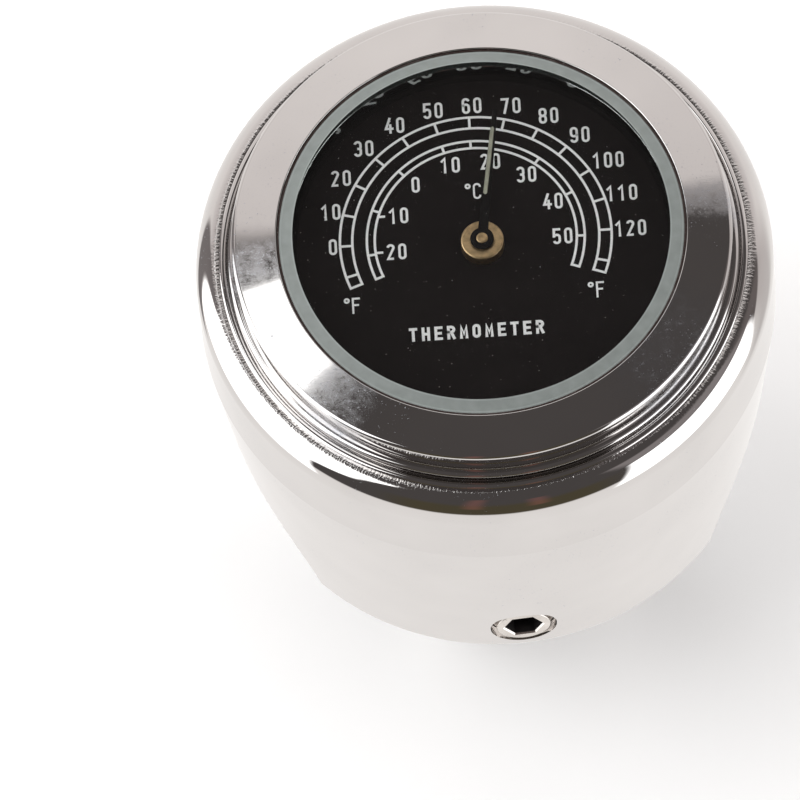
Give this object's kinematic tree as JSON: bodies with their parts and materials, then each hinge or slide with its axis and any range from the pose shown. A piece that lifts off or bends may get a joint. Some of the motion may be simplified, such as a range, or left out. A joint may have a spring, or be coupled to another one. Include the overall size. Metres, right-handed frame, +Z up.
{
  "type": "dial thermometer",
  "caption": "Round chromed dial thermometer with a tapered housing that clamps across a tubular handlebar by a hinged strap and a set screw.",
  "frame": {"origin": "on the handlebar's axis, under the middle of the dial", "axes": "+X along the handlebar, +Z up out of the dial, -Y towards the set screw"},
  "size_m": [0.044, 0.044, 0.0476],
  "materials": {
    "chrome_housing": "bright chrome plate, fine turning marks on the lip",
    "chrome_bezel": "bright polished chrome with fine dust",
    "chrome_strap": "bright chrome plate on steel",
    "pin_steel": "ground steel",
    "screw_steel": "dark plated steel",
    "liner_rubber": "matte black rubber",
    "ring_rubber": "smooth black rubber",
    "foam": "dark closed-cell foam",
    "gasket": "dark brown sealing compound",
    "lens_glass": "clear with a ground greenish edge",
    "polished_spacer": "polished inside",
    "dial_black": "matte black lacquer",
    "can_steel": "plain drawn steel",
    "bridge_brass": "stamped brass strip",
    "movement_screws": "bright steel",
    "brass": "turned brass",
    "bimetal": "rolled bimetal strip",
    "pointer_black": "black lacquer"
  },
  "bodies": {
    "mount": {"housing": "chrome_housing", "saddle_pad": "liner_rubber", "seat_washer": "foam", "strap_pin": "pin_steel"},
    "strap": {"clamp_strap": "chrome_strap", "strap_pad": "liner_rubber"},
    "screw": {"set_screw": "screw_steel"},
    "gauge": {"bezel": "chrome_bezel", "lens": "lens_glass", "lens_gasket": "gasket", "spacer_ring": "polished_spacer", "dial_plate": "dial_black", "back_can": "can_steel", "gauge_o_ring": "ring_rubber", "bridge": "bridge_brass", "bridge_screws": "movement_screws", "bridge_bearing": "brass", "arbor_bush": "brass", "bimetal_coil": "bimetal", "coil_stud": "brass"},
    "pointer_shaft": {"arbor": "brass", "coil_collet": "brass", "pointer": "pointer_black"}
  },
  "joints": [
    {"name": "gauge_turn", "type": "hinge", "parent": "mount", "child": "gauge", "pos_m": [0, 0, 0.025], "axis": [0, 0, 1], "continuous": true},
    {"name": "pointer_turn", "type": "hinge", "parent": "gauge", "child": "pointer_shaft", "pos_m": [0, 0, 0.0295], "axis": [0, 0, 1], "range_deg": [-102, 119]},
    {"name": "strap_swing", "type": "hinge", "parent": "mount", "child": "strap", "pos_m": [0, 0.01465, 0.0045], "axis": [1, 0, 0], "range_deg": [0, 90]},
    {"name": "screw_travel", "type": "slide", "parent": "mount", "child": "screw", "axis": [0, -1, 0], "range_m": [0, 0.003]}
  ]
}
